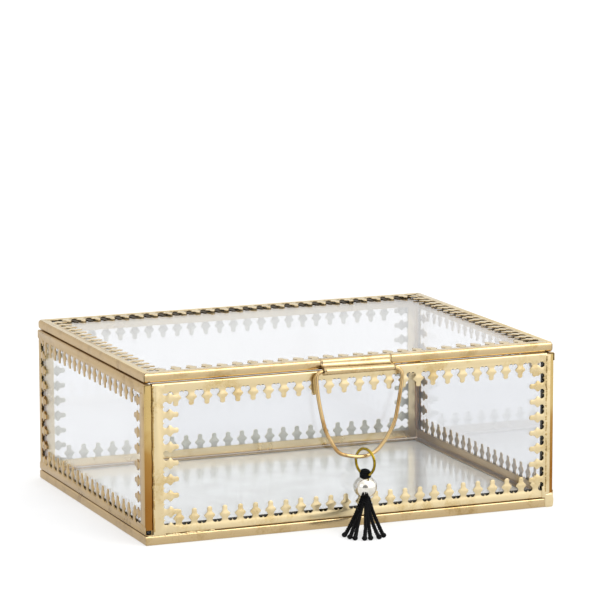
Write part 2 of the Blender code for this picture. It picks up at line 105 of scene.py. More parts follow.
class FinishSettings(bpy.types.PropertyGroup):
    """Colours of the finishes, as sRGB hex values."""

    stamped: StringProperty(name="Stamped strip", description="Satin stamped brass", default="#D3C199")
    # The channel brass is darker than the stamped strip: painted shade.
    rolled: StringProperty(name="Rolled channel", description="Brass rolled to a channel", default="#BCA67E")
    # The colour at a corner post's foot: painted reflection, darker towards the foot.
    tinted: StringProperty(name="Heat tint", description="Brass tinted by heat", default="#8A5A20")
    wire: StringProperty(name="Wire", description="Drawn brass wire", default="#C0A577")
    ring: StringProperty(name="Jump ring", description="Aged olive brass", default="#A08A30")
    cord: StringProperty(name="Cord", description="Black waxed cord", default="#050507")
    mirror: StringProperty(name="Mirror", description="Silvered glass", default="#FAFAF6")
    glass: StringProperty(name="Glass", description="Clear glass", default="#ECEDEF")


class CharmSettings(bpy.types.PropertyGroup):
    """The handle, ring, bead and tassel."""

    wire: FloatProperty(name="Handle wire", description="Radius", default=0.9 * MM, unit="LENGTH")
    ring_wire: FloatProperty(name="Ring wire", description="Radius", default=0.65 * MM, unit="LENGTH")
    strand: FloatProperty(name="Strand", description="Radius of a strand", default=0.95 * MM, unit="LENGTH")
    strands: IntProperty(name="Strands", description="Cords in the tassel", default=7, min=3)


class StageSettings(bpy.types.PropertyGroup):
    """The floor, the light and the camera."""

    floor: StringProperty(name="Floor", description="Pale floor", default="#FFFFFF")
    key_power: FloatProperty(
        name="Key light", description="Power of the key light", default=24.0, unit="POWER"
    )
    lens: FloatProperty(name="Lens", description="Focal length in mm", default=206.37)
    camera_at: FloatVectorProperty(
        name="Camera",
        description="Camera position",
        default=(-0.59681, -1.46817, 0.36164),
        subtype="TRANSLATION",
    )


def finish():
    """The colours that the finishes are made with."""
    return bpy.context.scene.box_finish


# ------------------------------------------------------------------ materials


def linear(code):
    """A hex colour from sRGB to linear RGBA."""
    parts = [int(code[place:place + 2], 16) / 255 for place in (1, 3, 5)]
    return [part / 12.92 if part <= 0.04045 else ((part + 0.055) / 1.055) ** 2.4 for part in parts] + [1]


def add(tree, kind, values=None, **settings_of):
    """A node with its settings; values maps a socket to a number or to the socket that feeds it."""
    made = tree.nodes.new("ShaderNode" + kind)
    for key, value in settings_of.items():
        setattr(made, key, value)
    for key, value in (values or {}).items():
        if isinstance(value, bpy.types.NodeSocket):
            tree.links.new(value, made.inputs[key])
        else:
            made.inputs[key].default_value = value
    return made


def blank(name):
    """A new material with its shader, its object-space coordinates and its tree."""
    found = bpy.data.materials.get(name)
    if found:
        return found, None, None, None
    material = bpy.data.materials.new(name)
    material.use_nodes = True
    tree = material.node_tree
    shader = tree.nodes["Principled BSDF"]
    place = add(tree, "TexCoord").outputs["Object"]
    return material, tree, shader, place


def feed(tree, shader, **sockets):
    """Link or set the shader's sockets; an underscore in a name stands for a space."""
    for key, value in sockets.items():
        socket = shader.inputs[key.replace("_", " ")]
        if isinstance(value, bpy.types.NodeSocket):
            tree.links.new(value, socket)
        else:
            socket.default_value = value


def blotches(tree, place, size, detail=3.0, distortion=0.0):
    """Noise whose features are about that size in metres."""
    values = {"Vector": place, "Scale": 1 / size, "Detail": detail, "Distortion": distortion}
    return add(tree, "TexNoise", values).outputs["Fac"]


def ramp(tree, fac, stops):
    """A colour ramp from (position, hex colour) stops."""
    made = add(tree, "ValToRGB", {"Fac": fac})
    elements = made.color_ramp.elements
    while len(elements) < len(stops):
        elements.new(0.5)
    for element, (position, code) in zip(elements, stops):
        element.position = position
        element.color = linear(code)
    return made.outputs["Color"]


def ranged(tree, fac, low, high):
    """A value from 0 to 1 spread from low to high."""
    return add(tree, "MapRange", {"Value": fac, "To Min": low, "To Max": high}).outputs["Result"]


def bumped(tree, height, depth, strength=1.0, normal=None):
    """A normal bent by a height of that depth in metres, on top of another normal where one is given."""
    values = {"Height": height, "Distance": depth, "Strength": strength}
    if normal is not None:
        values["Normal"] = normal
    return add(tree, "Bump", values).outputs["Normal"]


def mottled_brass(name, light, dark, roughness, grain=0.35 * MM, tint=None, metallic=1.0):
    """Satin brass, clouded by flux and handling, with fine grain; tint, where given, recolours it by place to
    paint a reflection.
    """
    material, tree, shader, place = blank(name)
    if tree is None:
        return material
    cloud = blotches(tree, place, 11 * MM, 4.0, 0.4)
    fleck = blotches(tree, place, 1.1 * MM, 3.0)
    little = add(tree, "Math", {0: fleck, 1: 0.25}, operation="MULTIPLY").outputs[0]
    tone = add(tree, "Math", {0: cloud, 1: 0.75, 2: little}, operation="MULTIPLY_ADD").outputs[0]
    colour = ramp(tree, tone, [(0.28, dark), (0.50, light), (0.72, light)])
    if tint:
        colour = tint(tree, place, colour)
    fine = blotches(tree, place, grain, 2.0)
    normal = bumped(tree, fine, 0.02 * MM, 0.4)
    normal = bumped(tree, cloud, 0.35 * MM, 0.5, normal)
    rough = ranged(tree, cloud, roughness - 0.06, roughness + 0.10)
    feed(tree, shader, Base_Color=colour, Metallic=metallic, Roughness=rough, Normal=normal)
    return material


def stamped_brass():
    """The gallery strip's face: thin rolled brass, stamped and left satin, pale where it is handled."""
    return mottled_brass("stamped_satin_brass", finish().stamped, "#BCA26C", 0.27)


def deep_shade_brass():
    """The channels: brass rolled over the glass, drawn a deeper tone than the stamped face to paint the shade
    on their webs.
    """
    return mottled_brass("deep_brass_painted_shade", finish().rolled, "#9A7E4C", 0.20)


def side_wall_shade_brass():
    """Brass for the side walls, pinkish and less bright: a darker copy of the brass that paints their shade.
    """
    return mottled_brass("side_wall_brass_painted_shade", "#B3986A", "#92764A", 0.28)


def brass_behind_glass():
    """The glass side of the back strips, brass like the rest.

    It is drawn pale and not metallic, because bare metal seen through two panes comes out much darker
    than it looks.
    """
    return mottled_brass("brass_behind_glass", "#F4F1DC", "#E2DDBB", 0.6, metallic=0.0)


def channel_inside_shade():
    """The inside of a channel, drawn near black: painted shade."""
    return mottled_brass("channel_inside_painted_shade", "#3A2F1C", "#15100A", 0.5)


def post_reflection_brass():
    """A corner post: pale at the top and orange-brown towards its foot, a painted reflection that darkens
    down the post.
    """

    # Paints the post's reflection, darker towards its foot.
    def down_the_post(tree, place, colour):
        height = add(tree, "SeparateXYZ", {"Vector": place}).outputs["Z"]
        rise = add(tree, "MapRange", {"Value": height, "From Min": 14 * MM, "From Max": 66 * MM})
        wave = blotches(tree, place, 16 * MM, 2.0)
        sway = add(tree, "Math", {0: wave, 1: 0.5}, operation="MULTIPLY").outputs[0]
        share = add(tree, "Math", {0: rise.outputs["Result"], 1: sway}, operation="ADD").outputs[0]
        cast = ramp(tree, share, [(0.30, finish().tinted), (0.80, "#A17A3E"), (0.96, "#BFA56C")])
        mixed = add(tree, "Mix", {"Factor": 0.95}, data_type="RGBA")
        tree.links.new(colour, mixed.inputs[6])
        tree.links.new(cast, mixed.inputs[7])
        return mixed.outputs[2]

    return mottled_brass("post_reflection_brass", "#CDAF78", "#8A6530", 0.26, tint=down_the_post)


def drawn_wire():
    """Drawn brass wire, polished by handling, with faint draw marks."""
    return mottled_brass("drawn_brass_wire", finish().wire, "#8C6430", 0.2, 0.5 * MM)


def olive_brass():
    """An aged brass jump ring, gone olive."""
    return mottled_brass("aged_olive_brass", finish().ring, "#5E4C14", 0.24, 0.3 * MM)


def solder():
    """Soft solder under a brown patina: dull and lumpy, with bright grains."""
    return mottled_brass("patinated_solder", "#B59A66", "#2E1D08", 0.38, 0.4 * MM)


def float_glass():
    """Clear float glass: a faint grey cast, and light passes straight to what is inside."""
    material, tree, shader, place = blank("clear_float_glass")
    if tree is None:
        return material
    tone = linear(finish().glass)
    feed(tree, shader, Base_Color=tone, Roughness=0.0, IOR=1.5, Transmission_Weight=1.0)
    shadow = add(tree, "LightPath").outputs["Is Shadow Ray"]
    clear = add(tree, "BsdfTransparent", {"Color": tone}).outputs[0]
    mixed = add(tree, "MixShader", {0: shadow, 1: shader.outputs[0], 2: clear}).outputs[0]
    tree.links.new(mixed, tree.nodes["Material Output"].inputs["Surface"])
    return material


def silvered_mirror():
    """Silvered glass, cloudy with fine dust, so reflections are soft and pale."""
    material, tree, shader, place = blank("clouded_silvered_mirror")
    if tree is None:
        return material
    haze = blotches(tree, place, 14 * MM, 3.0)
    colour = ramp(tree, haze, [(0.3, "#EDEDE6"), (0.7, finish().mirror)])
    rough = ranged(tree, haze, 0.10, 0.18)
    feed(tree, shader, Base_Color=colour, Metallic=0.35, Roughness=rough)
    return material


def black_felt():
    """Pressed wool felt: matt, with short fibres."""
    material, tree, shader, place = blank("black_pressed_felt")
    if tree is None:
        return material
    fibre = blotches(tree, place, 0.6 * MM, 5.0, 1.5)
    colour = ramp(tree, fibre, [(0.35, "#0E0E10"), (0.65, "#2A2A2E")])
    normal = bumped(tree, fibre, 0.15 * MM, 0.8)
    feed(tree, shader, Base_Color=colour, Roughness=0.95, Sheen_Weight=0.4, Normal=normal)
    return material


def polished_silver():
    """A silver-plated bead, polished, with small dents that break up its reflections."""
    material, tree, shader, place = blank("polished_silver_plate")
    if tree is None:
        return material
    marks = blotches(tree, place, 4 * MM, 2.0)
    colour = ramp(tree, marks, [(0.3, "#C9C4B6"), (0.7, "#E2DFD8")])
    normal = bumped(tree, marks, 0.5 * MM, 0.35)
    feed(tree, shader, Base_Color=colour, Metallic=1.0, Roughness=0.09, Normal=normal)
    return material


def waxed_cord():
    """Black waxed cotton cord, two plies twisted: a soft sheen on the plies and fine fibre."""
    material, tree, shader, place = blank("black_waxed_cord")
    if tree is None:
        return material
    fibre = blotches(tree, place, 0.35 * MM, 4.0, 0.8)
    colour = ramp(tree, fibre, [(0.3, "#030304"), (0.7, finish().cord)])
    normal = bumped(tree, fibre, 0.12 * MM, 0.8)
    rough = ranged(tree, fibre, 0.55, 0.85)
    feed(tree, shader, Base_Color=colour, Roughness=rough, Specular_IOR_Level=0.12, Normal=normal)
    return material


# ------------------------------------------------------------------ meshes


def new_piece(name, data, materials, body, slot, *nodes):
    """Put a piece in the scene in its finishes, riding on its body and standing for its CAD nodes."""
    piece = bpy.data.objects.new(name, data)
    bpy.context.scene.collection.objects.link(piece)
    for material in materials:
        data.materials.append(material)
    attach(piece, body)
    if nodes:
        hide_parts(*nodes)
    return piece


def curve_mesh(curve):
    """The mesh of a curve, welded, and the curve removed."""
    thing = bpy.data.objects.new("curve_at_work", curve)
    bpy.context.scene.collection.objects.link(thing)
    graph = bpy.context.evaluated_depsgraph_get()
    mesh = bpy.data.meshes.new_from_object(thing.evaluated_get(graph))
    bpy.data.objects.remove(thing)
    work = bmesh.new()
    work.from_mesh(mesh)
    bmesh.ops.remove_doubles(work, verts=work.verts, dist=2e-6)
    bmesh.ops.recalc_face_normals(work, faces=work.faces)
    work.to_mesh(mesh)
    work.free()
    return mesh


def outline(points, depth, edge=0.0, smooth=None):
    """A flat closed outline in X and Y, with its thickness on Z and its edges eased by edge."""
    curve = bpy.data.curves.new("outline", "CURVE")
    curve.dimensions = "2D"
    curve.fill_mode = "BOTH"
    curve.extrude = depth / 2 - edge
    curve.bevel_depth = edge
    curve.bevel_resolution = 1
    curve.offset = -edge
    if smooth is None:
        spline = curve.splines.new("POLY")
        spline.points.add(len(points) - 1)
        for point, (x, y) in zip(spline.points, points):
            point.co = (x, y, 0, 1)
    else:
        curve.resolution_u = smooth
        spline = curve.splines.new("BEZIER")
        spline.bezier_points.add(len(points) - 1)
        for point, (x, y, sharp) in zip(spline.bezier_points, points):
            point.co = (x, y, 0)
            point.handle_left_type = point.handle_right_type = "VECTOR" if sharp else "AUTO"
    spline.use_cyclic_u = True
    return curve_mesh(curve)


def tube(points, radius, closed=False, sides=5, radii=None):
    """A round wire through the points, smooth, with filled ends."""
    curve = bpy.data.curves.new("tube", "CURVE")
    curve.dimensions = "3D"
    curve.bevel_depth = radius
    curve.bevel_resolution = sides
    curve.use_fill_caps = not closed
    spline = curve.splines.new("POLY")
    spline.points.add(len(points) - 1)
    for place, (made, point) in enumerate(zip(spline.points, points)):
        made.co = (*point, 1)
        if radii:
            made.radius = radii[place]
    spline.use_cyclic_u = closed
    mesh = curve_mesh(curve)
    mesh.shade_smooth()
    return mesh


def smooth_path(points, steps):
    """Points on a Catmull-Rom curve through the given ones."""
    points = [Vector(point) for point in points]
    ends = [points[0] * 2 - points[1], *points, points[-1] * 2 - points[-2]]
    path = []
    for a, b, c, d in zip(ends, ends[1:], ends[2:], ends[3:]):
        for step in range(steps):
            t = step / steps
            square = (2 * a - 5 * b + 4 * c - d) * t * t
            cube = (3 * b - a - 3 * c + d) * t**3
            path.append(0.5 * (2 * b + (c - a) * t + square + cube))
    path.append(points[-1])
    return path


def written(work, name):
    """A new mesh from what is in work, which is freed."""
    mesh = bpy.data.meshes.new(name)
    work.to_mesh(mesh)
    work.free()
    return mesh


def joined(*meshes):
    """Several meshes as one."""
    work = bmesh.new()
    for mesh in meshes:
        work.from_mesh(mesh)
    return written(work, "joined")


def soften(mesh, angle=35):
    """Smooth shading with sharp folds kept."""
    mesh.shade_smooth()
    mesh.set_sharp_from_angle(angle=math.radians(angle))
    return mesh


ALONG_X = Matrix(((0, 0, 1, 0), (1, 0, 0, 0), (0, 1, 0, 0), (0, 0, 0, 1)))


def arc(x, y, radius, start, end, steps=4):
    """Points on a circle about (x, y), angles in degrees."""
    angles = [math.radians(start + (end - start) * step / steps) for step in range(steps + 1)]
    return [(x + radius * math.cos(angle), y + radius * math.sin(angle)) for angle in angles]


def channel_section(outer, inner, lip, reach, sheet, fold):
    """A folded channel in (Y, Z): lip on the outer side, web on Z = 0, flange on the inner side."""
    tight = fold - sheet
    return (
        [(outer, lip)]
        + arc(outer + fold, fold, fold, 180, 270)
        + arc(inner - fold, fold, fold, 270, 360)
        + [(inner, reach), (inner - sheet, reach)]
        + arc(inner - fold, fold, tight, 0, -90)
        + arc(outer + fold, fold, tight, -90, -180)
        + [(outer + sheet, lip)]
    )


# The finishes of a strip, in the order that its materials go on: its stamped face, the inside of its channel
# (near black, painted shade), the outside and the cut edges, and the side that faces the glass at the back.
FACE, INSIDE, OUTSIDE, BEHIND = range(4)

WALL_FOLD = 0.75 * MM
LID_FOLD = 1.4 * MM
STRIP_SLACK = 0.1 * MM
POST_GAP = 2.4 * MM
LID_SEED = 50

# Half a finial of the stamped strip, from the cusp between two finials to its tip. Each point is its
# distance from the finial's middle as a share of the pitch, its height as a share of the finial's
# length, and whether the outline has a corner there.
HALF_FINIAL = (
    (0.500, 0.015, True),
    (0.440, -0.090, False),
    (0.350, -0.105, False),
    (0.250, -0.050, False),
    (0.190, 0.080, False),
    (0.225, 0.200, False),
    (0.310, 0.300, False),
    (0.352, 0.385, False),
    (0.318, 0.475, False),
    (0.215, 0.575, False),
    (0.158, 0.670, False),
    (0.160, 0.800, False),
    (0.150, 0.910, False),
    (0.085, 0.985, False),
)


@dataclass
class Edge:
    """How one edge of a pane is dressed; sizes are in millimetres and shifts run along the strip."""

    band: float = 4.1
    finial: float = 6.6
    shift: float = 0.0
    low: float = 0.5
    proud: float = 0.1
    start: float = 3.0
    end: float = 3.0
    mitre: bool = True
    # Shift of a dark copy of the finials under the face, a painted reflection in the glass; 0 for none.
    painted_reflection_shift: float = 0.0
    deeper: float = 0.0
    behind: bool = False

    def middles(self, length, pitch):
        """The middles of the finials, from the far end of the strip to the near one."""
        half, step = length / 2 / MM, pitch / MM
        first = math.ceil((-half + self.start - self.shift) / step)
        last = math.floor((half - self.end - self.shift) / step)
        return [(self.shift + number * step) * MM for number in range(last, first - 1, -1)]


def strip_face(length, edge, pitch, sheet, bend, rng):
    """The stamped outer face: a plain band with finials, each bent a little its own way."""
    band, tall, low = (value * MM for value in (edge.band, edge.finial, edge.low))
    half = length / 2
    middles = edge.middles(length, pitch)
    inset = band * 0.9 if edge.mitre else 0.0
    points = [(-half, low, True), (half, low, True), (half - inset, band, True)]
    for number, middle in enumerate(middles):
        right = [(middle + x * pitch, band + z * tall, sharp) for x, z, sharp in HALF_FINIAL]
        left = [(2 * middle - x, z, sharp) for x, z, sharp in reversed(right)]
        if number == 0 and right[0][0] > half - inset:
            right = right[4:]
        if number == len(middles) - 1 and left[-1][0] < -half + inset:
            left = left[:-3]
        points += right + [(middle, band + tall, False)] + left
        if number < len(middles) - 1:
            points.pop()
    points.append((-half + inset, band, True))
    face = outline(points, sheet, min(0.09 * MM, sheet / 3), smooth=2)
    face.transform(Matrix.Rotation(math.pi / 2, 4, "X"))
    dish = 0.32 * MM if bend else 0.0
    bends = [max(-1.4, min(0.6, rng.gauss(0, 0.5))) for _ in middles]
    leans = [rng.gauss(0, 0.5) for _ in middles]
    for vertex in face.vertices:
        rise = (vertex.co.z - band) / tall
        if rise <= 0:
            continue
        number = min(range(len(middles)), key=lambda one: abs(middles[one] - vertex.co.x))
        off = (vertex.co.x - middles[number]) / pitch
        vertex.co.y += bend * (bends[number] * rise**1.5 + 0.8 * leans[number] * off * rise)
        vertex.co.y -= dish * max(0.0, 1 - (off / 0.4) ** 2) * min(1.0, rise * 3) * (1 - rise)
        vertex.co.x += 0.12 * MM * leans[number] * rise
    for polygon in face.polygons:
        polygon.material_index = OUTSIDE if abs(polygon.normal.y) < 0.5 else FACE
        if edge.behind and polygon.normal.y > 0.5:
            polygon.material_index = BEHIND
    return face


def gallery_strip(length, thickness, edge, pitch, fold, gallery, seed):
    """A strip along X with its web on Z = 0, its finials on the -Y side and glass to go in from +Z."""
    rng = random.Random(seed)
    sheet = gallery.sheet
    outer, inner = -thickness / 2 - edge.proud * MM, thickness / 2 + edge.deeper * MM
    face = strip_face(length, edge, pitch, sheet, gallery.bend, rng)
    face.transform(Matrix.Translation((0, outer + sheet / 2, 0)))
    meshes = [soften(face, 40)]
    # A thin dark copy of the finials just under the face: their painted reflection in the glass.
    if edge.painted_reflection_shift:
        back = strip_face(length, replace(edge, shift=edge.shift + edge.painted_reflection_shift), pitch, sheet / 2, 0.0, rng)
        back.transform(Matrix.Translation((0, outer + 1.4 * sheet, 0)))
        back.polygons.foreach_set("material_index", [INSIDE] * len(back.polygons))
        meshes.append(soften(back, 40))
    reach = edge.band * MM + 0.1 * MM
    section = channel_section(outer + 0.03 * MM, inner, reach - 0.8 * MM, reach, sheet * 0.8, fold)
    channel = outline(section, length)
    channel.transform(ALONG_X)
    # The channel's inner faces are drawn near black: painted shade.
    shade_channel_inside(channel, (outer + inner) / 2, thickness, fold)
    meshes.append(soften(channel, 40))
    mesh = joined(*meshes)
    for vertex in mesh.vertices:
        place = vertex.co * 60 + Vector((seed * 7.1, 0, 0))
        vertex.co.y += 0.08 * MM * noise.noise(place)
    return mesh


def shade_channel_inside(channel, middle, thickness, fold):
    """Give a channel's inner faces the near-black finish that paints their shade."""
    for face in channel.polygons:
        y, z = face.center.y - middle, face.center.z
        towards = Vector((0, -y, fold - z if z < fold else 0))
        inward = face.normal.dot(towards) > 0 and abs(face.normal.x) < 0.5
        tip = abs(face.normal.z) > 0.9 and z > fold
        face.material_index = INSIDE if inward and not tip else OUTSIDE


POST = Edge(proud=0.0, start=2.5, end=2.5, mitre=False)

# How each edge of each wall, and each side of the lid, is dressed.
EDGES = {
    ("front", "bottom"): Edge(band=4.2, shift=3.25, proud=0.0, start=10.5, end=5.0),
    ("front", "top"): Edge(band=4.5, finial=6.1, shift=-2.3, proud=0.22, start=5.5, end=10.0),
    ("front", "left"): replace(POST, band=5.5, shift=1.8, low=1.3, proud=0.30),
    ("front", "right"): replace(POST, band=2.0, finial=6.8, shift=-2.8, low=-1.7, proud=0.22),
    ("left", "bottom"): Edge(band=4.3, shift=2.8, start=10, end=9),
    ("left", "top"): Edge(band=4.6, finial=6.1, shift=-1.25, proud=0.3, start=9, end=10),
    ("left", "left"): replace(POST, band=4.0, shift=-0.7),
    ("left", "right"): replace(POST, band=6.8, shift=2.9, start=4.0, deeper=0.55),
    ("right", "bottom"): Edge(band=4.0, start=9, end=9),
    ("right", "top"): Edge(band=4.5, finial=6.1, shift=1.5, proud=0.3, start=9, end=9),
    ("right", "left"): replace(POST, shift=2.0, start=4.0),
    ("right", "right"): replace(POST, shift=2.6),
    ("back", "bottom"): Edge(band=4.0, shift=-3.6, proud=0.0, start=9, end=9, behind=True),
    ("back", "top"): Edge(band=4.0, shift=-0.25, proud=0.05, start=9, end=9, behind=True),
    ("back", "left"): replace(POST, shift=1.0, proud=0.22, behind=True),
    ("back", "right"): replace(POST, shift=-1.0, proud=0.22, behind=True),
    ("lid", "front"): Edge(band=4.3, shift=-1.9, proud=0.05, start=8, end=8, deeper=0.22),
    ("lid", "back"): Edge(band=4.3, shift=0.0, proud=0.05, start=8, end=8, painted_reflection_shift=3.65, deeper=0.22),
    ("lid", "left"): Edge(band=4.3, shift=1.0, proud=0.0, start=6, end=6, deeper=0.22),
    ("lid", "right"): Edge(band=4.3, shift=0.5, proud=0.0, start=6, end=6, painted_reflection_shift=3.6, deeper=0.22),
}


def wall_frame(side):
    """A wall's matrix, width, height and thickness, from its top and bottom strips."""
    low, high = span(f"{side}_strip_bottom", f"{side}_strip_top")
    size = high - low
    middle = (low + high) / 2
    matrix = Matrix.Translation((middle.x, middle.y, low.z)) @ Matrix.Rotation(WALLS[side], 4, "Z")
    return matrix, max(size.x, size.y), size.z, min(size.x, size.y)


def lumpy_bead(points, radius, seed):
    """A run of solder: a wire whose thickness and line both wander."""
    rng = random.Random(seed)
    path = smooth_path([Vector(p) + Vector([rng.gauss(0, 0.10 * MM) for _ in range(3)]) for p in points], 4)
    radii = [max(0.4, 1 + 0.35 * rng.gauss(0, 1)) for _ in path]
    return tube(path, radius, sides=3, radii=radii)


def steps_between(start, end, count):
    """Evenly spaced points from start to end."""
    start, end = Vector(start), Vector(end)
    return [start.lerp(end, step / (count - 1)) for step in range(count)]


class JEWELRYBOX_OT_walls(bpy.types.Operator):
    """Edge the four walls in stamped brass strip"""

    bl_idname = "jewelry_box.walls"
    bl_label = "Wall strips"

    def execute(self, context):
        gallery = context.scene.box_gallery
        lid_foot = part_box("lid_rail_front")[0].z
        for order, side in enumerate(WALLS):
            matrix, width, height, thickness = wall_frame(side)
            lift = lid_foot - gallery.gap - matrix.translation.z - height
            edges = {
                "bottom": (width, 0.0, (0, 0, 0)),
                "top": (width, math.pi, (0, 0, height + lift)),
                "left": (height, math.pi / 2, (-width / 2, 0, height / 2)),
                "right": (height, -math.pi / 2, (width / 2, 0, height / 2)),
            }
            for number, (name, (length, roll, at)) in enumerate(edges.items()):
                edge = EDGES[side, name]
                long_side = side in ("front", "back")
                upright = name in ("left", "right")
                short = POST_GAP if (side, name) == ("left", "right") else STRIP_SLACK
                seed = order * 10 + number
                pitch = gallery.long_pitch if long_side or upright else gallery.side_pitch
                mesh = gallery_strip(length - short, thickness, edge, pitch, WALL_FOLD, gallery, seed)
                mesh.transform(Matrix.Translation((short / 2 - STRIP_SLACK / 2, 0, 0)))
                mesh.transform(matrix @ Matrix.Translation(at) @ Matrix.Rotation(roll, 4, "Y"))
                # Side walls take a darker copy of the brass: painted shade.
                face = stamped_brass() if long_side else side_wall_shade_brass()
                # Upright strips of the side walls take the post brass, with its painted reflection that
                # darkens towards the foot.
                outside = post_reflection_brass() if upright and not long_side else face
                materials = [face, channel_inside_shade(), outside, brass_behind_glass()]
                piece_name = f"{side}_gallery_{name}"
                new_piece(piece_name, mesh, materials, "box", "brass", f"{side}_strip_{name}")
        self.solder_corners()
        return {"FINISHED"}

    def solder_corners(self):
        """Solder runs down the four corners, between each corner post and the wall beside it."""
        low, high = span(*[f"{side}_strip_{end}" for side in ("front", "back") for end in ("left", "right")])
        runs = []
        for seed, (x, y) in enumerate(
            ((low.x, low.y), (high.x, low.y), (low.x, high.y), (high.x, high.y))
        ):
            seam = Vector((x - math.copysign(0.45 * MM, x), y + math.copysign(0.02 * MM, y), 0))
            run = steps_between(seam + UP * (low.z + 1.5 * MM), seam + UP * high.z, 34)
            runs.append(lumpy_bead(run, 0.34 * MM, seed))
        mesh = joined(*runs)
        mesh.shade_smooth()
        new_piece("corner_solder", mesh, [solder()], "box", "brass")


class JEWELRYBOX_OT_lid(bpy.types.Operator):
    """Edge the lid in stamped brass strip"""

    bl_idname = "jewelry_box.lid"
    bl_label = "Lid strips"

    def execute(self, context):
        gallery = context.scene.box_gallery
        low, high = span("lid_rail_front", "lid_rail_back", "lid_rail_left", "lid_rail_right")
        size = high - low
        centre = Matrix.Translation((low + high) / 2)
        lay_down = Matrix.Rotation(-math.pi / 2, 4, "X")
        for number, (side, turn) in enumerate(WALLS.items()):
            long_side = side in ("front", "back")
            length, out = (size.x, size.y / 2) if long_side else (size.y, size.x / 2)
            edge = EDGES["lid", side]
            pitch = gallery.long_pitch if long_side else gallery.side_pitch
            seed = LID_SEED + number
            mesh = gallery_strip(length - STRIP_SLACK, size.z, edge, pitch, LID_FOLD, gallery, seed)
            for vertex in mesh.vertices:
                limit = length / 2 - vertex.co.z - (0.35 * MM if long_side else 0.0)
                vertex.co.x = max(-limit, min(limit, vertex.co.x))
            place = centre @ Matrix.Rotation(turn, 4, "Z") @ Matrix.Translation((0, -out, 0)) @ lay_down
            mesh.transform(place)
            # Long sides take the deeper channel brass and short sides the darker side-wall brass: both
            # painted shade.
            web = deep_shade_brass() if long_side else side_wall_shade_brass()
            materials = [stamped_brass(), channel_inside_shade(), web]
            new_piece(f"lid_gallery_{side}", mesh, materials, "lid", "brass", f"lid_rail_{side}")
        return {"FINISHED"}


# Along the front rail from its middle: the crease in it, and where the solder over it stops.
CREASE_AT = -66 * MM
FOOT_SOLDER_END = -67 * MM


class JEWELRYBOX_OT_base(bpy.types.Operator):
    """Build the base rails and finish the mirror and the felt"""

    bl_idname = "jewelry_box.base"
    bl_label = "Base"

    def execute(self, context):
        sheet = context.scene.box_gallery.sheet
        low, high = span(*[f"base_rail_{side}" for side in WALLS])
        size = high - low
        middle = (low + high) / 2
        lay_down = Matrix.Rotation(-math.pi / 2, 4, "X")
        for number, (side, turn) in enumerate(WALLS.items()):
            long_side = side in ("front", "back")
            length, out = (size.x, size.y / 2) if long_side else (size.y, size.x / 2)
            rail_low, rail_high = span(f"base_rail_{side}")
            reach = min(rail_high.x - rail_low.x, rail_high.y - rail_low.y)
            section = channel_section(-size.z / 2, size.z / 2, reach, reach, sheet, WALL_FOLD)
            mesh = outline(section, length)
            mesh.transform(ALONG_X)
            for vertex in mesh.vertices:
                vertex.co.x = math.copysign(length / 2 - vertex.co.z, vertex.co.x)
            mesh = cut_across(mesh, length, 90)
            for vertex in mesh.vertices:
                wave = noise.noise(vertex.co * 45 + Vector((number * 9.7, 0, 0)))
                vertex.co.z -= 0.10 * MM * wave
                if side == "front":
                    crease = math.exp(-(((vertex.co.x - CREASE_AT) / (1.3 * MM)) ** 2))
                    vertex.co.z += 0.5 * MM * crease
            place = Matrix.Translation((middle.x, middle.y, low.z + size.z / 2))
            turned = place @ Matrix.Rotation(turn, 4, "Z")
            mesh.transform(turned @ Matrix.Translation((0, -out, 0)) @ lay_down)
            # Long rails take the deeper channel brass and short rails the darker side-wall brass: both
            # painted shade.
            face = deep_shade_brass() if long_side else side_wall_shade_brass()
            piece_name = f"base_channel_{side}"
            new_piece(piece_name, soften(mesh, 40), [face], "box", "brass", f"base_rail_{side}")
        self.solder_foot(low, high)
        finish_node("base_mirror", silvered_mirror())
        finish_node("base_felt", black_felt())
        return {"FINISHED"}

    def solder_foot(self, low, high):
        """Smoothed solder where the front wall stands on its rail, and the crumpled cap at its far end."""
        at_y, at_z = low.y + 0.35 * MM, high.z + 0.05 * MM
        run = steps_between((low.x + 1 * MM, at_y, at_z), (FOOT_SOLDER_END, at_y, at_z), 20)
        fillet = lumpy_bead(run, 0.32 * MM, 3)
        new_piece("foot_solder", fillet, [stamped_brass()], "box", "brass")
        work = bmesh.new()
        bmesh.ops.create_icosphere(work, subdivisions=2, radius=1.0)
        for vertex in work.verts:
            squared = [math.copysign(abs(value) ** 0.45, value) for value in vertex.co]
            bump = 1 + 0.28 * noise.noise(vertex.co * 1.7)
            vertex.co = Vector((squared[0] * 2.3 * bump, squared[1] * 1.0, squared[2] * 3.3 * bump)) * MM
        cap = written(work, "cap")
        cap.transform(Matrix.Translation((high.x - 2.0 * MM, low.y + 0.55 * MM, low.z + 3.45 * MM)))
        new_piece("crumpled_cap", cap, [stamped_brass()], "box", "brass")


def cut_across(mesh, length, parts):
    """The mesh with cuts across X, so that it can bend along its length."""
    work = bmesh.new()
    work.from_mesh(mesh)
    for step in range(1, parts):
        at = Vector((-length / 2 + length * step / parts, 0, 0))
        everything = work.verts[:] + work.edges[:] + work.faces[:]
        bmesh.ops.bisect_plane(work, geom=everything, plane_co=at, plane_no=(1, 0, 0))
    work.to_mesh(mesh)
    work.free()
    return mesh


def finish_node(name, material):
    """Give a CAD node that keeps its shape a finished material."""
    node = frame["nodes"][name]
    for slot in node.material_slots:
        slot.material = material


class JEWELRYBOX_OT_glass(bpy.types.Operator):
    """Finish the panes of the walls and the lid"""

    bl_idname = "jewelry_box.glass"
    bl_label = "Glass"

    def execute(self, context):
        for name in [f"{side}_glass" for side in WALLS] + ["lid_glass"]:
            finish_node(name, float_glass())
        return {"FINISHED"}


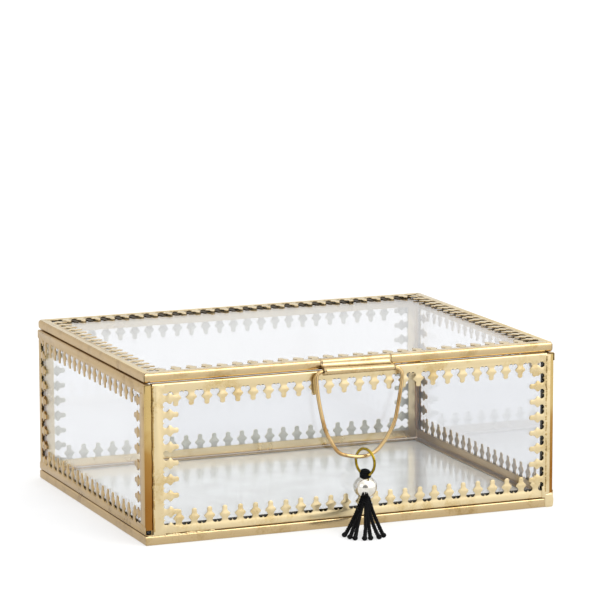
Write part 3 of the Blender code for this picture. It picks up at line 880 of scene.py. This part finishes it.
def knuckle_mesh(length, way, leaf_height, radius):
    """A rolled sheet knuckle along X with its leaf up (1) or down (-1) the rail behind it."""
    inner = radius - 0.5 * MM
    rolled = arc(0, 0, radius, 180, 180 - way * 330, 22)
    inside = arc(0, 0, inner, 180 - way * 330, 180 - way * 12, 20)
    leaf = [(-inner, way * leaf_height), (-radius, way * leaf_height)]
    mesh = outline(rolled + inside + leaf, length)
    mesh.transform(ALONG_X)
    return soften(mesh, 50)


class JEWELRYBOX_OT_hinge(bpy.types.Operator):
    """Build the three rolled knuckles and the pin along the back edge"""

    bl_idname = "jewelry_box.hinge"
    bl_label = "Hinge"

    def execute(self, context):
        axis = joint_vector("lid_hinge", "pos_m")
        for name, body, way in (
            ("hinge_knuckle_left", "box", -1),
            ("hinge_knuckle_right", "box", -1),
            ("hinge_knuckle_lid", "lid", 1),
        ):
            low, high = span(name)
            leaf = axis.z - low.z if way < 0 else high.z - axis.z
            mesh = knuckle_mesh(high.x - low.x, way, leaf, high.y - axis.y)
            mesh.transform(Matrix.Translation(((low.x + high.x) / 2, axis.y, axis.z)))
            new_piece(name.replace("hinge", "rolled"), mesh, [stamped_brass()], body, "brass", name)
        low, high = span("hinge_pin")
        radius = (high.z - low.z) / 2
        ends = [(low.x, axis.y, axis.z), (high.x, axis.y, axis.z)]
        pin = joined(tube(ends, radius), *[ball(Vector(end), radius * 1.35) for end in ends])
        pin.shade_smooth()
        new_piece("hinge_wire", pin, [drawn_wire()], "box", "brass_wire", "hinge_pin")
        return {"FINISHED"}


def ball(centre, radius, rings=8):
    """A round ball."""
    work = bmesh.new()
    place = Matrix.Translation(centre)
    bmesh.ops.create_uvsphere(work, u_segments=rings * 2, v_segments=rings, radius=radius, matrix=place)
    return written(work, "ball")


class JEWELRYBOX_OT_handle(bpy.types.Operator):
    """Build the sleeve on the lid and the wire handle that turns in it"""

    bl_idname = "jewelry_box.handle"
    bl_label = "Handle"

    def execute(self, context):
        wire = context.scene.box_charm.wire
        axis = joint_vector("handle_swing", "pos_m")
        self.build_sleeve(axis, wire)
        self.build_loop(axis, wire)
        return {"FINISHED"}

    def build_sleeve(self, axis, wire):
        """A sheet strap over the lid's rail, curled forward round the wire, looser at its left end."""
        low, high = span("handle_sleeve")
        rail_low, rail_high = span("lid_rail_front")
        sheet = 0.20 * MM
        front, top = rail_low.y - 0.06 * MM, rail_high.z + 0.08 * MM
        strap = [(front + 2.4 * MM, top)]
        strap += arc(front + 1.4 * MM, top - 1.4 * MM, 1.4 * MM, 90, 180, 6)
        curl = arc(0, 0, 1, 42, 388, 26)
        work = bmesh.new()
        rows = []
        steps = 24
        for step in range(steps + 1):
            share = step / steps
            loose = (1 - share) ** 2
            x = low.x + (high.x - low.x) * share
            radius = wire + 0.42 * MM + 0.32 * MM * loose
            lift = axis.z + 0.40 * MM * (1 - share)
            sway = 0.12 * MM * noise.noise(Vector((share * 6, 0, 3)))
            row = [work.verts.new((x, y, z)) for y, z in strap]
            row.append(work.verts.new((x, front + sway, lift + radius + 0.9 * MM)))
            row += [work.verts.new((x, axis.y + y * radius, lift + z * radius)) for y, z in curl]
            rows.append(row)
        for one, other in zip(rows, rows[1:]):
            for a, b, c, d in zip(one, other, other[1:], one[1:]):
                work.faces.new((a, b, c, d))
        bmesh.ops.recalc_face_normals(work, faces=work.faces)
        mesh = written(work, "sleeve")
        mesh.shade_smooth()
        # The sleeve takes the deeper channel brass: painted shade.
        piece = new_piece("rolled_sleeve", mesh, [deep_shade_brass()], "lid", "brass", "handle_sleeve")
        solid = piece.modifiers.new("sheet", "SOLIDIFY")
        solid.thickness = sheet
        solid.offset = 1.0

    def build_loop(self, axis, wire):
        """One bent wire: the bar in the sleeve, the bowl, back to the sleeve, and its short end, drawn dark
        as painted shade.
        """
        foot = joint_vector("ring_swing", "pos_m")
        tilt = math.atan2(axis.y - foot.y, axis.z - foot.z)
        drop = math.hypot(axis.y - foot.y, axis.z - foot.z)
        half = 20.9 * MM
        bowl = smooth_path([(half * x, 0, -drop * z) for x, z in BOWL], 6)
        bar = [(-15 * MM, 0, 0.08 * MM), (0, 0, 0.04 * MM), (14.5 * MM, 0, 0.0)]
        mesh = tube(smooth_path(bar, 6)[:-1] + bowl, wire, sides=6)
        back = half * 0.98
        tail = [
            (-18.6 * MM, 0.9 * MM, -0.3 * MM),
            (-back, 0.9 * MM, -1.0 * MM),
            (-back - 1.1 * MM, 0.8 * MM, -4 * MM),
            (-back - 1.0 * MM, 0.5 * MM, -9.6 * MM),
        ]
        short_end = tube(smooth_path(tail, 7), wire * 0.85, sides=5)
        # The short end takes the dark solder finish: painted shade.
        short_end.polygons.foreach_set("material_index", [1] * len(short_end.polygons))
        tick = ball(Vector((-0.42 * half, -0.4 * MM, -0.965 * drop)), 0.9 * MM, 5)
        whole = joined(mesh, short_end, tick)
        whole.shade_smooth()
        whole.transform(Matrix.Translation(axis) @ Matrix.Rotation(-tilt, 4, "X"))
        finishes = [drawn_wire(), solder()]
        new_piece("bent_wire_handle", whole, finishes, "handle", "brass_wire", "handle_loop")


# The handle's bowl from the sleeve's right end round to its left one: across as a share of its half
# width, and down as a share of its drop. The hand that bent it left the two sides unlike.
BOWL = (
    (0.82, -0.005),
    (0.957, 0.038),
    (1.000, 0.110),
    (0.938, 0.287),
    (0.861, 0.462),
    (0.761, 0.636),
    (0.562, 0.808),
    (0.340, 0.937),
    (0.153, 0.985),
    (-0.010, 1.000),
    (-0.240, 0.990),
    (-0.560, 0.934),
    (-0.742, 0.785),
    (-0.852, 0.656),
    (-0.928, 0.459),
    (-0.981, 0.254),
    (-0.995, 0.067),
    (-0.947, 0.008),
    (-0.830, -0.015),
)


class JEWELRYBOX_OT_charm(bpy.types.Operator):
    """Build the jump ring, the thread knot, the bead and the tassel"""

    bl_idname = "jewelry_box.charm"
    bl_label = "Charm"

    def execute(self, context):
        charm = context.scene.box_charm
        self.build_ring(charm)
        self.build_knot()
        self.build_bead()
        self.build_tassel(charm)
        return {"FINISHED"}

    def build_ring(self, charm):
        """A jump ring with its joint a little open, beside the handle wire."""
        low, high = span("jump_ring")
        centre = (low + high) / 2
        radius = (high.z - low.z) / 2 - charm.ring_wire
        across = joint_vector("charm_swing", "axis")
        steps, opening = 72, 0.5 * MM
        first_turn, whole_turn = 100, 356
        points = []
        for step in range(steps + 1):
            angle = math.radians(first_turn + whole_turn * step / steps)
            side = across.cross(UP) * (opening * (step / steps - 0.5))
            points.append(centre + side + radius * (math.cos(angle) * across + math.sin(angle) * UP))
        mesh = tube(points, charm.ring_wire, sides=5)
        new_piece("open_jump_ring", mesh, [olive_brass()], "ring", "ring_brass", "jump_ring")

    def build_knot(self):
        """Turns of cord over the ring's foot."""
        low, high = span("thread_knot")
        centre = Vector(((low.x + high.x) / 2, (low.y + high.y) / 2, 0))
        foot = low.z + 0.35 * MM
        meshes = []
        rng = random.Random(5)
        turns = [(2.15, 0.6), (2.5, 1.5), (2.6, 2.4), (2.45, 3.3), (1.9, 4.1)]
        for radius, height in turns:
            tip = Euler((rng.uniform(-0.16, 0.16), rng.uniform(-0.16, 0.16), 0)).to_matrix()
            path = []
            for step in range(28):
                angle = 2 * math.pi * step / 28
                wob = 1 + 0.05 * math.sin(3 * angle + height)
                flat = Vector((math.cos(angle) * wob, math.sin(angle) * 0.92 * wob, 0)) * radius * MM * 0.82
                path.append(centre + Vector((0, 0, foot + height * MM)) + tip @ flat)
            meshes.append(tube(path, 0.62 * MM, closed=True, sides=3))
        core = ball(Vector((0, 0, 0)), 1.0)
        squash = Matrix.Diagonal((0.0021, 0.0020, 0.0024, 1))
        core.transform(Matrix.Translation(centre + Vector((0, 0, foot + 2.3 * MM))) @ squash)
        meshes.append(core)
        mesh = joined(*meshes)
        mesh.shade_smooth()
        new_piece("wrapped_knot", mesh, [waxed_cord()], "charm", "black_cord", "thread_knot")

    def build_bead(self):
        """A pierced round bead, a little flattened, with a rolled rim at its holes."""
        low, high = span("bead")
        centre = (low + high) / 2
        radius = (high.x - low.x) / 2
        half = radius * 0.93
        hole = 0.30
        bore = radius * hole * 0.86
        first = math.asin(hole)
        angles = [first + (math.pi - 2 * first) * step / 32 for step in range(33)]
        profile = [(bore, half * 0.80), (bore * 1.03, half * 0.93)]
        profile += [(radius * math.sin(angle), half * math.cos(angle)) for angle in angles]
        profile += [(bore * 1.03, -half * 0.93), (bore, -half * 0.80)]
        work = bmesh.new()
        count = 64
        turns = [2 * math.pi * place / count for place in range(count)]
        rows = [
            [work.verts.new((x * math.cos(turn), x * math.sin(turn), z)) for turn in turns]
            for x, z in profile
        ]
        rows.append(rows[0])
        for one, other in zip(rows, rows[1:]):
            for place in range(count):
                after = (place + 1) % count
                work.faces.new((one[place], other[place], other[after], one[after]))
        bmesh.ops.recalc_face_normals(work, faces=work.faces)
        mesh = written(work, "bead")
        mesh.transform(Matrix.Translation(centre))
        new_piece("silver_bead", soften(mesh, 60), [polished_silver()], "charm", "silver", "bead")

    def build_tassel(self, charm):
        """Twisted cords that fan out from the bead and rest on the ground, each ending in a knot."""
        bead_low, bead_high = span("bead")
        middle = (bead_low + bead_high) / 2
        top = Vector((middle.x, middle.y, bead_low.z + 0.9 * MM))
        rng = random.Random(4)
        count = charm.strands
        shares = (0.0, 0.08, 0.22, 0.42, 0.62, 0.8, 0.93, 1.0)
        drops = (0.0, 0.14, 0.34, 0.56, 0.74, 0.89, 0.98, 1.0)
        lean, fan = 25, 48
        longest, shorter = 22.6 * MM, 4.0 * MM
        trunk = Vector((-math.sin(math.radians(lean)), -math.cos(math.radians(lean)), 0))
        for number in range(count):
            share = number / (count - 1) - 0.5
            angle = math.radians(lean + fan * share + rng.uniform(-1.6, 1.6))
            own = Vector((-math.sin(angle), -math.cos(angle), 0))
            across = Vector((own.y, -own.x, 0))
            length = longest - shorter * abs(2 * share) ** 1.6 + rng.uniform(-0.6, 0.4) * MM
            start = top + trunk * 0.5 * MM + across * share * 2.4 * MM
            bow = rng.uniform(-0.7, 0.7) * MM
            height = top.z - 1.05 * MM
            path = []
            for along, fall in zip(shares, drops):
                point = start + own * length * along - Vector((0, 0, height * fall))
                path.append(point + across * bow * math.sin(math.pi * along))
            name = f"tassel_cord_{number + 1}"
            self.strand(name, smooth_path(path, 8), charm.strand, rng, number == 0)

    def strand(self, name, path, radius, rng, stands_for_node):
        """One cord of two plies twisted together, with a knot at its tip."""
        turn = rng.uniform(0, 6.28)
        meshes = []
        pitch = 2.6 * MM
        gone = [0.0]
        for a, b in zip(path, path[1:]):
            gone.append(gone[-1] + (b - a).length)
        for ply in range(2):
            points = []
            for place, point in enumerate(path):
                before, after = path[max(0, place - 1)], path[min(len(path) - 1, place + 1)]
                forward = (after - before).normalized()
                side = forward.cross(UP).normalized()
                up = side.cross(forward)
                angle = turn + ply * math.pi + 2 * math.pi * gone[place] / pitch
                points.append(point + (side * math.cos(angle) + up * math.sin(angle)) * radius * 0.46)
            meshes.append(tube(points, radius * 0.6, sides=3))
        tip = path[-2]
        bulb = ball(Vector((0, 0, 0)), 1.0)
        swell = Matrix.Diagonal((radius * 1.35, radius * 1.35, radius * 1.2, 1))
        bulb.transform(Matrix.Translation(tip) @ swell)
        meshes.append(bulb)
        mesh = joined(*meshes)
        mesh.shade_smooth()
        nodes = ("tassel",) if stands_for_node else ()
        new_piece(name, mesh, [waxed_cord()], "charm", "black_cord", *nodes)


CAMERA_FORWARD = Vector((0.37363734, 0.91227113, -0.16779905))
CAMERA_RIGHT = Vector((0.92523196, -0.3793941, -0.0024379))


class JEWELRYBOX_OT_stage(bpy.types.Operator):
    """Set the pale floor, the soft light and the camera"""

    bl_idname = "jewelry_box.stage"
    bl_label = "Stage"

    def execute(self, context):
        stage = context.scene.box_stage
        self.floor(stage)
        self.light(stage)
        self.camera(stage)
        context.scene.view_settings.view_transform = "Standard"
        return {"FINISHED"}

    def floor(self, stage):
        """A plain pale floor that glows a little, so that it stays near white."""
        material, tree, shader, place = blank("pale_floor")
        if tree is not None:
            grain = blotches(tree, place, 40 * MM, 2.0)
            colour = ramp(tree, grain, [(0.3, "#9E9E9E"), (0.7, "#A3A3A3")])
            glow = {"Emission_Color": linear(stage.floor), "Emission_Strength": 0.57}
            feed(tree, shader, Base_Color=colour, Roughness=0.9, **glow)
        bpy.ops.mesh.primitive_plane_add(size=12)
        floor = bpy.context.object
        floor.name = "floor"
        floor.data.materials.append(material)

    def light(self, stage):
        """A white room, brighter on one side and with one dark patch, a key light and a fill."""
        world = bpy.data.worlds.new("studio")
        world.use_nodes = True
        bpy.context.scene.world = world
        tree = world.node_tree
        way = add(tree, "TexCoord").outputs["Generated"]
        bright = self.towards(tree, way, (0.45, -0.70, 0.55), 0.0, 1.0, 1.10, 1.9)
        dark = self.towards(tree, way, (-0.37, -0.91, 0.17), 0.84, 0.95, 1.0, 0.22)
        strength = add(tree, "Math", {0: bright, 1: dark}, operation="MULTIPLY").outputs[0]
        back = tree.nodes["Background"]
        back.inputs["Color"].default_value = (1, 1, 1, 1)
        tree.links.new(strength, back.inputs["Strength"])
        for name, at, size, power in (
            ("key", (1.2, -2.0, 1.8), 1.6, stage.key_power),
            ("fill", (-2.2, -1.2, 1.2), 1.4, stage.key_power / 5),
        ):
            lamp = bpy.data.lights.new(name, "AREA")
            lamp.size = size
            lamp.energy = power
            thing = bpy.data.objects.new(name, lamp)
            bpy.context.scene.collection.objects.link(thing)
            thing.location = at
            thing.rotation_euler = (-Vector(at)).to_track_quat("-Z", "Y").to_euler()

    def towards(self, tree, way, direction, start, end, low, high):
        """A strength that goes from low to high as the way turns towards a fixed direction."""
        aim = Vector(direction).normalized()
        facing = add(tree, "VectorMath", {0: way, 1: aim}, operation="DOT_PRODUCT").outputs["Value"]
        values = {"Value": facing, "From Min": start, "From Max": end, "To Min": low, "To Max": high}
        return add(tree, "MapRange", values).outputs["Result"]

    def camera(self, stage):
        """A long lens, a little above the box and to its left."""
        data = bpy.data.cameras.new("camera")
        data.lens = stage.lens
        data.sensor_width = 36
        data.clip_end = 50
        thing = bpy.data.objects.new("camera", data)
        bpy.context.scene.collection.objects.link(thing)
        up = CAMERA_RIGHT.cross(CAMERA_FORWARD)
        turn = Matrix((CAMERA_RIGHT, up, -CAMERA_FORWARD)).transposed()
        thing.matrix_world = Matrix.Translation(Vector(stage.camera_at)) @ turn.to_4x4()
        bpy.context.scene.camera = thing


class JEWELRYBOX_PT_panel(bpy.types.Panel):
    """The box's operators and settings"""

    bl_idname = "JEWELRYBOX_PT_panel"
    bl_label = "Jewelry Box"
    bl_space_type = "VIEW_3D"
    bl_region_type = "UI"
    bl_category = "Jewelry Box"

    def draw(self, context):
        for operator in OPERATORS:
            self.layout.operator(operator.bl_idname)
        for place in GROUPS:
            group = getattr(context.scene, place)
            column = self.layout.column()
            for name in group.__annotations__:
                column.prop(group, name)


OPERATORS = (
    JEWELRYBOX_OT_base,
    JEWELRYBOX_OT_walls,
    JEWELRYBOX_OT_glass,
    JEWELRYBOX_OT_lid,
    JEWELRYBOX_OT_hinge,
    JEWELRYBOX_OT_handle,
    JEWELRYBOX_OT_charm,
    JEWELRYBOX_OT_stage,
)
GROUPS = {
    "box_gallery": GallerySettings,
    "box_finish": FinishSettings,
    "box_charm": CharmSettings,
    "box_stage": StageSettings,
}
CLASSES = (*GROUPS.values(), *OPERATORS, JEWELRYBOX_PT_panel)


def register():
    for cls in CLASSES:
        bpy.utils.register_class(cls)
    for name, group in GROUPS.items():
        setattr(bpy.types.Scene, name, PointerProperty(type=group))


def unregister():
    for name in GROUPS:
        delattr(bpy.types.Scene, name)
    for cls in reversed(CLASSES):
        bpy.utils.unregister_class(cls)


def main():
    register()
    bpy.ops.jewelry_box.base()
    bpy.ops.jewelry_box.walls()
    bpy.ops.jewelry_box.glass()
    bpy.ops.jewelry_box.lid()
    bpy.ops.jewelry_box.hinge()
    bpy.ops.jewelry_box.handle()
    bpy.ops.jewelry_box.charm()
    bpy.ops.jewelry_box.stage()


if __name__ == "__main__":
    main()
